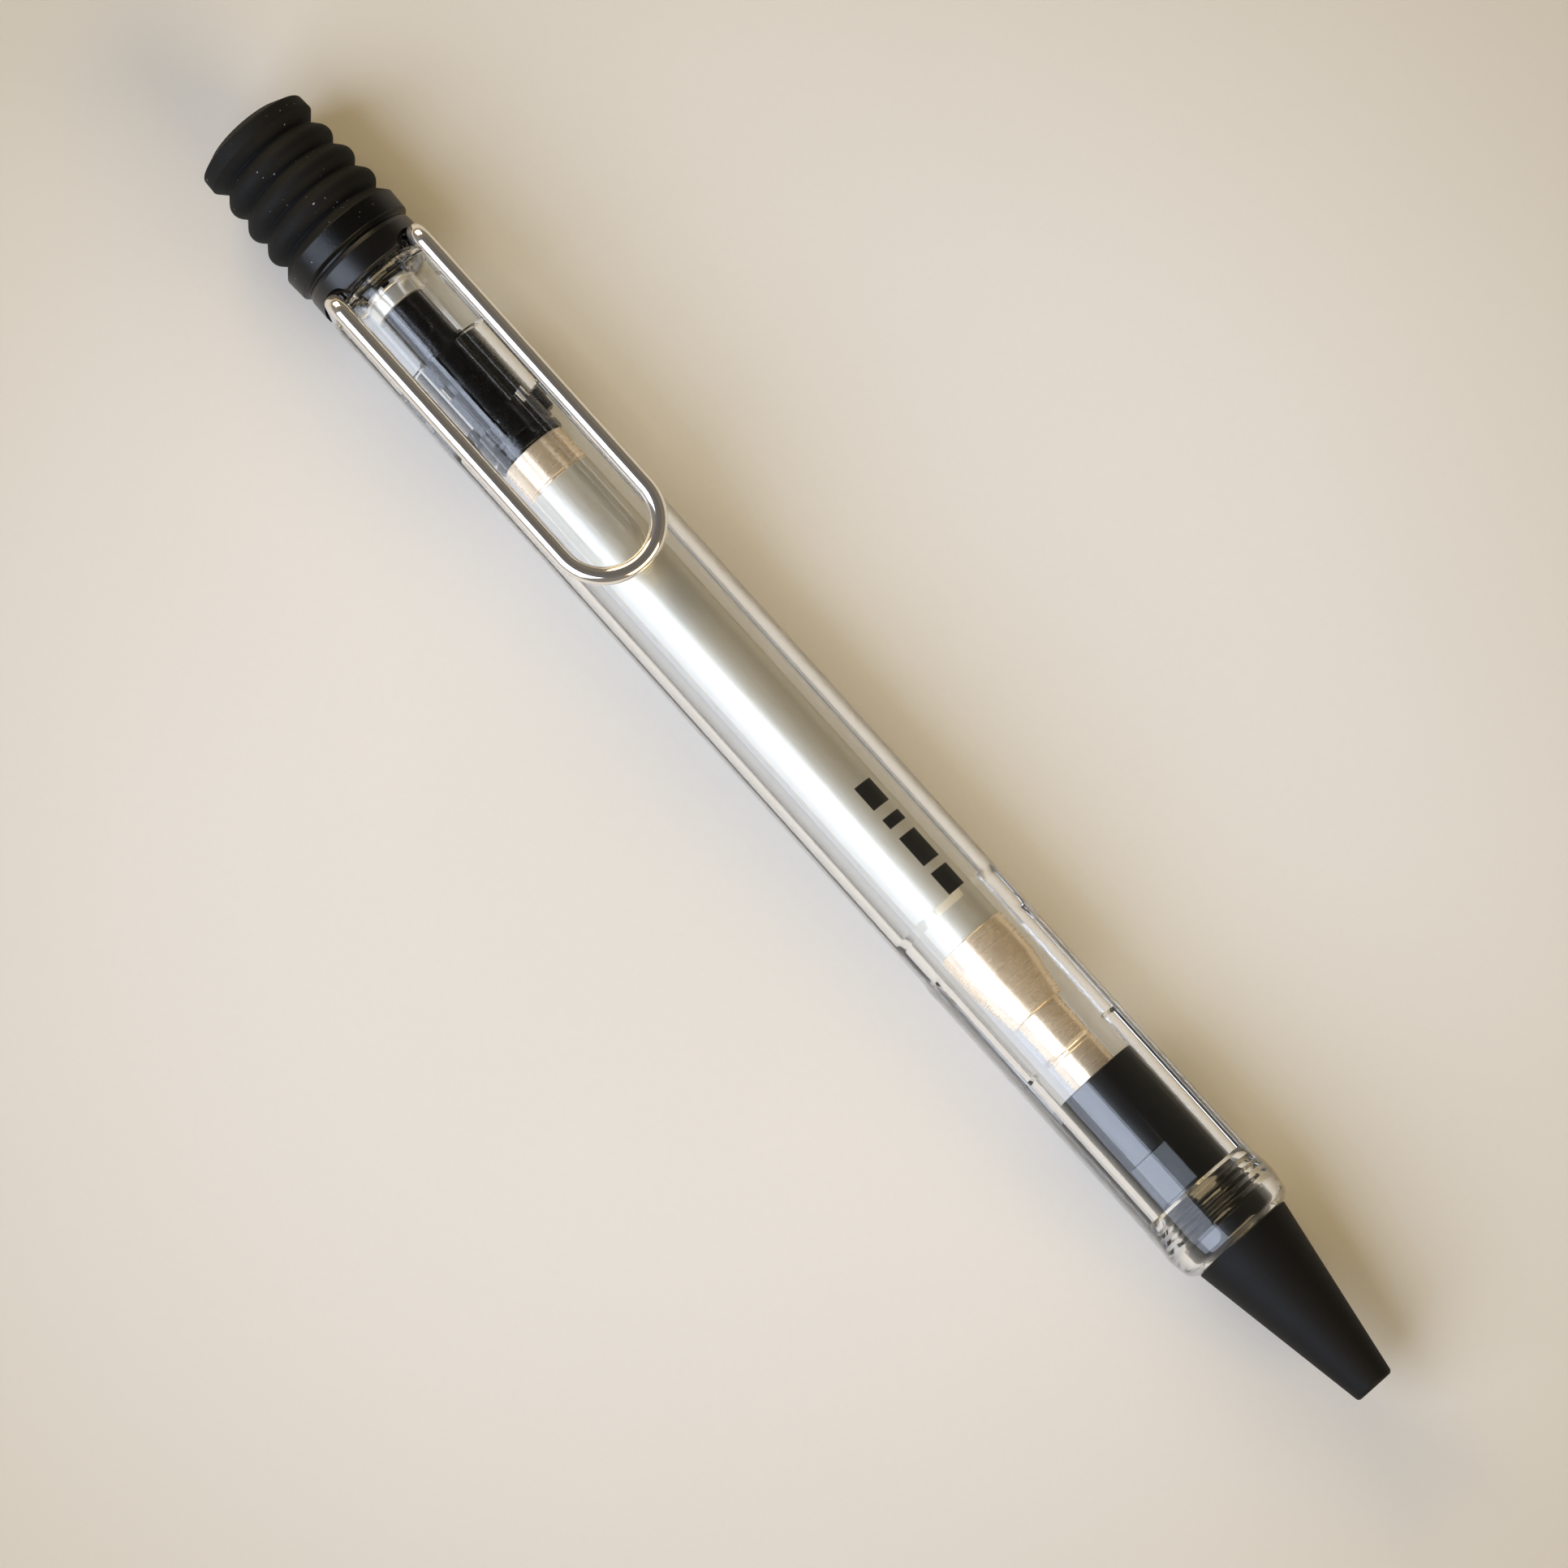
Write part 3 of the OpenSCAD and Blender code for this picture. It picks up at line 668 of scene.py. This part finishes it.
def refill():
    """Brass cap, satin tube and brass end piece, which fit into one another."""
    cap_s, cap_end = station("refill_rear_cap", 0), station("refill_tube", 0)
    ferrule_s = station("refill_tube", 1)
    neck_end = station("refill_front", 1)
    neck_s = neck_end - 14.8
    inner, plug_r = REFILL_R - 0.25, REFILL_R - 0.26
    cap_r, groove_r = REFILL_R - 0.05, REFILL_R - 0.12
    turned("refill_cap",
           [(cap_s, 0, 0), (cap_s, cap_r, 0.12), (cap_end - 0.25, cap_r, 0.04),
            (cap_end - 0.2, groove_r, 0.02), (cap_end, groove_r, 0),
            (cap_end, plug_r, 0), (cap_end + 3, plug_r, 0.3), (cap_end + 3, 0, 0)],
           BRASS, "refill", ["refill_rear_cap"])
    turned("refill_barrel",
           [(cap_end, inner, 0), (cap_end, REFILL_R, 0.06),
            (ferrule_s, REFILL_R, 0.06), (ferrule_s, inner, 0)],
           TUBE, "refill", ["refill_tube"])
    ferrule_r, neck_r, ink_r = REFILL_R + 0.15, 2.1, 0.7
    turned("refill_ferrule",
           [(ferrule_s - 3, ink_r, 0), (ferrule_s - 3, plug_r, 0.2), (ferrule_s, plug_r, 0),
            (ferrule_s, ferrule_r, 0.1), (ferrule_s + 3.7, ferrule_r, 0.6),
            (neck_s, 2.5, 0.1), (neck_s, neck_r, 0.03), (neck_s + 3.7, neck_r, 0.02),
            (neck_s + 3.8, neck_r - 0.08, 0.02), (neck_s + 4.2, neck_r - 0.08, 0.02),
            (neck_s + 4.3, neck_r, 0.02), (neck_end, neck_r, 0.15), (neck_end, POINT_SEAT_R, 0),
            (neck_end - 4, POINT_SEAT_R, 0), (neck_end - 4, ink_r, 0)],
           BRASS, "refill", ["refill_front"])


def spring():
    """Coil round the refill's neck and point, which shortens as the button goes in."""
    wire_r, turns, around = 0.18, 9, 36
    s0, s1 = station("return_spring", 0) + wire_r, station("return_spring", 1) - wire_r
    bm = bmesh.new()
    ring = bmesh.ops.create_circle(bm, segments=14, radius=wire_r, cap_ends=False)["verts"]
    bmesh.ops.rotate(bm, verts=ring, cent=(0, 0, 0), matrix=Matrix.Rotation(math.pi / 2, 3, "X"))
    bmesh.ops.translate(bm, verts=ring, vec=(s0, 0, half_width("return_spring") - wire_r))
    start = list({e for v in ring for e in v.link_edges})
    last = bmesh.ops.spin(bm, geom=ring + start, cent=(0, 0, 0), axis=(1, 0, 0),
                          dvec=((s1 - s0) / (turns * around), 0, 0), angle=turns * math.tau,
                          steps=turns * around, use_merge=False, use_duplicate=False)["geom_last"]
    for rim in (start, [g for g in last if isinstance(g, bmesh.types.BMEdge)]):
        bmesh.ops.contextual_create(bm, geom=rim)
    piece = finished(bm, "return_coil", STEEL, "spring", ["return_spring"], sharp=50)
    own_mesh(piece)
    return piece


def nose():
    """Black sleeve, thread and cone, with a flat pad on each side of the sleeve."""
    thread_end = THREAD_S + THREAD_TURNS * THREAD_PITCH
    pad_s, pad_end = THREAD_S - 4.7, THREAD_S - 0.7
    pad_away = math.sqrt(SLEEVE_R ** 2 - 1.7 ** 2)
    thread = []
    for turn in range(THREAD_TURNS):
        s = THREAD_S + turn * THREAD_PITCH
        thread += [(s + 0.02, SLEEVE_R + 0.05, 0.03), (s + THREAD_PITCH / 2, THREAD_R, 0.06)]
    step_s = station("return_spring", 0) + 6.35
    spring_end = station("return_spring", 1) + 0.05
    bore_r, spring_bore_r, refill_bore_r = 1.25, 1.98, 2.4
    corners = ([(SLEEVE_S, refill_bore_r, 0), (SLEEVE_S, SLEEVE_R, 0.15)]
               + spread(pad_s, pad_s + 0.2, SLEEVE_R, 0.1) + spread(pad_end - 0.2, pad_end, SLEEVE_R, 0.1)
               + [(THREAD_S - 0.1, SLEEVE_R, 0)] + thread
               + [(thread_end, SLEEVE_R + 0.05, 0.03), (thread_end + 0.3, THREAD_R, 0.05),
                  (FRONT_S + 0.05, THREAD_R, 0.03), (FRONT_S + 0.05, NOSE_R, 0.12),
                  (PEN_END, NOSE_END_R, 0.35), (PEN_END, bore_r, 0.05), (spring_end, bore_r, 0),
                  (spring_end, spring_bore_r, 0), (step_s, spring_bore_r, 0), (step_s, refill_bore_r, 0)])
    bm = bmesh.new()
    for v in spun(bm, rounded(corners), closed=True):
        s, angle, r = polar(v)
        if pad_s + 0.05 < s < pad_end - 0.05 and r > 3:
            for facing in (-22, 158):
                turn = away_from(angle, facing)
                if turn < 50:
                    r = min(r, pad_away / math.cos(math.radians(turn)))
        place(v, s, angle, r)
    return finished(bm, "black_nose", BLACK, "nose", ["nose_cone"], sharp=40)


def point():
    """Steel point and the ball in its end."""
    s0, s1 = station("tip_socket", 0), station("tip_socket", 1)
    ball_r, feed_r = 0.5, 0.3
    turned("steel_point",
           [(s0, feed_r, 0), (s0, POINT_R, 0.05), (s1 - 3.4, POINT_R, 0.1), (s1 - 3.3, POINT_R - 0.1, 0.05),
            (s1 - 2.9, POINT_R - 0.1, 0.1), (s1 - 0.5, 0.68, 0.1), (s1, 0.57, 0.03), (s1, ball_r, 0),
            (s1 - 0.6, feed_r, 0)],
           STEEL, "refill", ["tip_socket"])
    bm = bmesh.new()
    bmesh.ops.create_icosphere(bm, subdivisions=4, radius=ball_r)
    bmesh.ops.translate(bm, verts=bm.verts, vec=(station("tip_ball", 0) + ball_r, 0, 0))
    finished(bm, "writing_ball", STEEL, "ball", ["tip_ball"])


def stop_ring():
    """Bright ring on the plunger, with a groove round it and six teeth on its rear face."""
    s0, s1 = station("stop_ring", 0), station("stop_ring", 1)
    bore_r, out_r, groove_r = 2.06, 2.51, 2.46
    bm = bmesh.new()
    corners = [(s0, bore_r, 0), (s0, out_r, 0.06), (s0 + 0.45, out_r, 0.03), (s0 + 0.5, groove_r, 0.02),
               (s0 + 0.6, groove_r, 0.02), (s0 + 0.65, out_r, 0.03), (s1, out_r, 0.06), (s1, bore_r, 0)]
    for v in spun(bm, rounded(corners, 4), closed=True):
        s, angle, r = polar(v)
        if s < s0 + 0.2 and abs(angle % 60 - 30) > 22:
            s = s0 + 0.3
        place(v, s, angle, r)
    return finished(bm, "bright_ring", BRIGHT, "button", ["stop_ring"], sharp=40)


barrel()
collar()
bellows()
clip()
refill()
spring()
nose()
point()
stop_ring()

CAD_PAINT = {"button_core": BLACK_INNER, "plunger": BLACK_INNER, "rotor": BLACK_INNER, "ink_column": INK}
for node, material in CAD_PAINT.items():
    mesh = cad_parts[node].data
    mesh.materials.clear()
    mesh.materials.append(material)


# ---------------------------------------------------------------- stage, light and camera

def floor():
    """A sheet of paper six metres square."""
    bm = bmesh.new()
    bmesh.ops.create_grid(bm, x_segments=1, y_segments=1, size=3.0)
    mesh = bpy.data.meshes.new("floor")
    bm.to_mesh(mesh)
    bm.free()
    mesh.materials.append(paper())
    plane = bpy.data.objects.new("floor", mesh)
    bpy.context.scene.collection.objects.link(plane)


def lamp(name, at, size, power, colour):
    """A soft rectangular lamp that faces the pen."""
    light = bpy.data.lights.new(name, "AREA")
    light.shape = "RECTANGLE"
    light.size, light.size_y = size
    light.energy = power
    light.color = colour
    obj = bpy.data.objects.new(name, light)
    obj.location = at
    obj.rotation_euler = (-Vector(at)).to_track_quat("-Z", "Y").to_euler()
    bpy.context.scene.collection.objects.link(obj)


def sky(around, overhead):
    """Dim walls all round, and a darker ceiling that the black and bright pieces mirror."""
    world = bpy.data.worlds.new("sky")
    world.use_nodes = True
    nodes = Nodes(world.node_tree)
    ray = nodes.node("ShaderNodeTexCoord", {}, {}, "Generated")
    split = nodes.node("ShaderNodeSeparateXYZ", {}, [ray]).socket.node
    height = Value(nodes, split.outputs[2])
    colour = nodes.mix(height.above(0.75, 0.5), around, overhead)
    world.node_tree.links.new(colour.socket, world.node_tree.nodes["Background"].inputs["Color"])
    bpy.context.scene.world = world


def camera():
    """Nearly overhead, past the pen's tip, with the pen lying across the frame."""
    aim = Vector((0.0004, -0.0026, 0.0))
    distance, azimuth, elevation = 0.5426, math.radians(-25.6), math.radians(82.1)
    frame_up = math.radians(138.4)
    back = Vector((math.cos(elevation) * math.cos(azimuth), math.cos(elevation) * math.sin(azimuth),
                   math.sin(elevation)))
    right = Vector((math.cos(frame_up), math.sin(frame_up), 0)).cross(back).normalized()
    up = back.cross(right)
    data = bpy.data.cameras.new("camera")
    data.lens = 152.8
    data.sensor_width = 36
    obj = bpy.data.objects.new("camera", data)
    obj.matrix_world = Matrix((right, up, back)).transposed().to_4x4()
    obj.location = aim + back * distance
    bpy.context.scene.collection.objects.link(obj)
    bpy.context.scene.camera = obj


floor()
lamp("window", (-0.05, -0.72, 0.64), (0.9, 0.9), 7.9, (0.84, 0.93, 1.12))
for name, x in (("left_wall", -1.0), ("right_wall", 1.0)):
    lamp(name, (x, 0.15, 0.5), (0.9, 0.5), 6.0, (1.0, 0.80, 0.49))
sky((0.12, 0.11, 0.09), (0.035, 0.032, 0.028))
camera()
bpy.context.scene.view_settings.view_transform = "Standard"
bpy.context.scene.view_settings.look = "Medium High Contrast"
